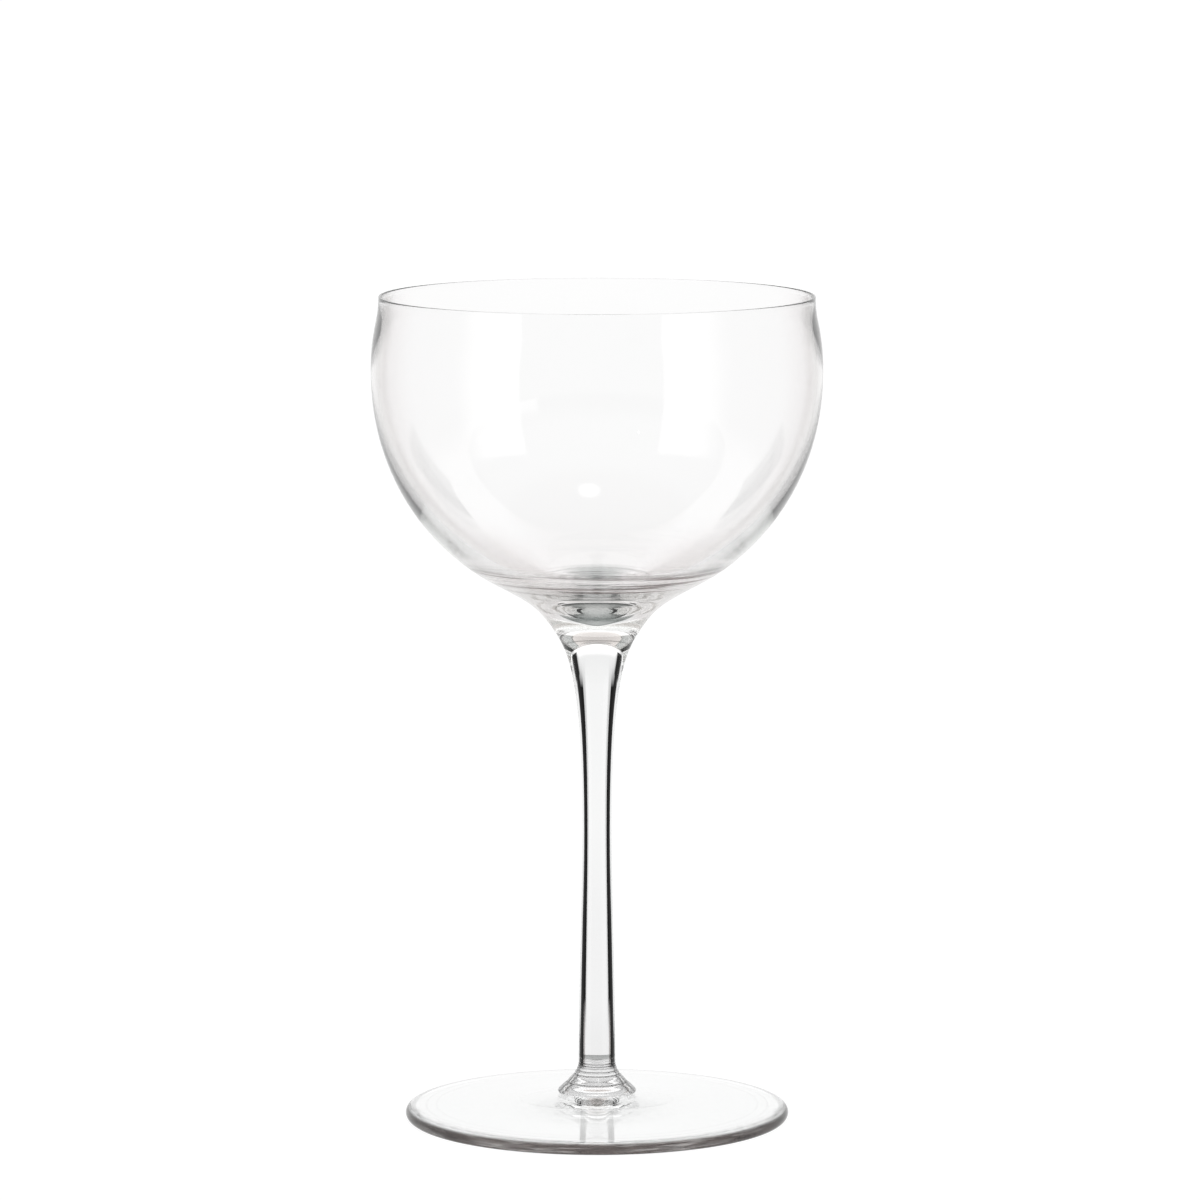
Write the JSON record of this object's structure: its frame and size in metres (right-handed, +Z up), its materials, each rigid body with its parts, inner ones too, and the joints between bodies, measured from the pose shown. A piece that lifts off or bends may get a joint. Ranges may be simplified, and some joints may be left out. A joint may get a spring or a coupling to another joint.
{
  "type": "nick and nora glass",
  "caption": "Clear stemmed cocktail glass with a thin round bowl, a slender drawn stem, a small collar and a shallow conical foot.",
  "frame": {"origin": "centre of the resting plane under the foot", "axes": "+Z up along the axis of the glass, out of the mouth of the bowl; the glass is round, so X and Y are free"},
  "size_m": [0.087, 0.087, 0.1605],
  "materials": {
    "clear_glass": "clear, fire polished, smooth on every face"
  },
  "bodies": {
    "root": {"bowl": "clear_glass", "stem": "clear_glass", "foot_collar": "clear_glass", "foot": "clear_glass"}
  },
  "joints": []
}
